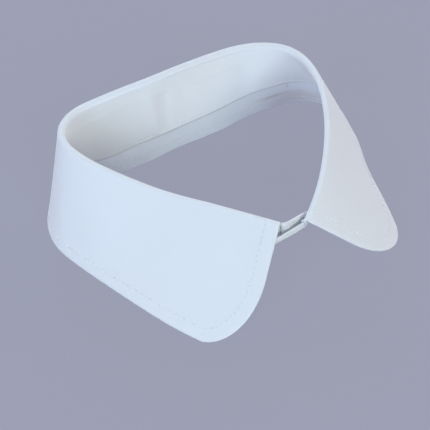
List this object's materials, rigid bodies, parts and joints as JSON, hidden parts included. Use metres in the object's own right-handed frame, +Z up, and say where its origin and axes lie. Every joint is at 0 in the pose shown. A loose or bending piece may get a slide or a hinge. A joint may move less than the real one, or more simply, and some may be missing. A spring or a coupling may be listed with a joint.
{
  "type": "detachable shirt collar",
  "caption": "White turned-down detachable collar with rounded points, standing as a closed loop on its lower edge, its narrow front tabs lapped.",
  "frame": {"origin": "middle of the collar's footprint, on the surface that it stands on", "axes": "+X towards the wearer's left, +Y towards the back of the neck, +Z up"},
  "size_m": [0.1832, 0.1374, 0.0571],
  "materials": {
    "fall_cotton": "matte plain-woven white cotton, topstitched",
    "stand_cotton": "matte plain-woven white cotton",
    "right_tab_cotton": "matte plain-woven white cotton",
    "left_tab_cotton": "matte plain-woven white cotton"
  },
  "bodies": {
    "root": {"fall": "fall_cotton", "stand": "stand_cotton", "right_tab": "right_tab_cotton", "left_tab": "left_tab_cotton"}
  },
  "joints": []
}
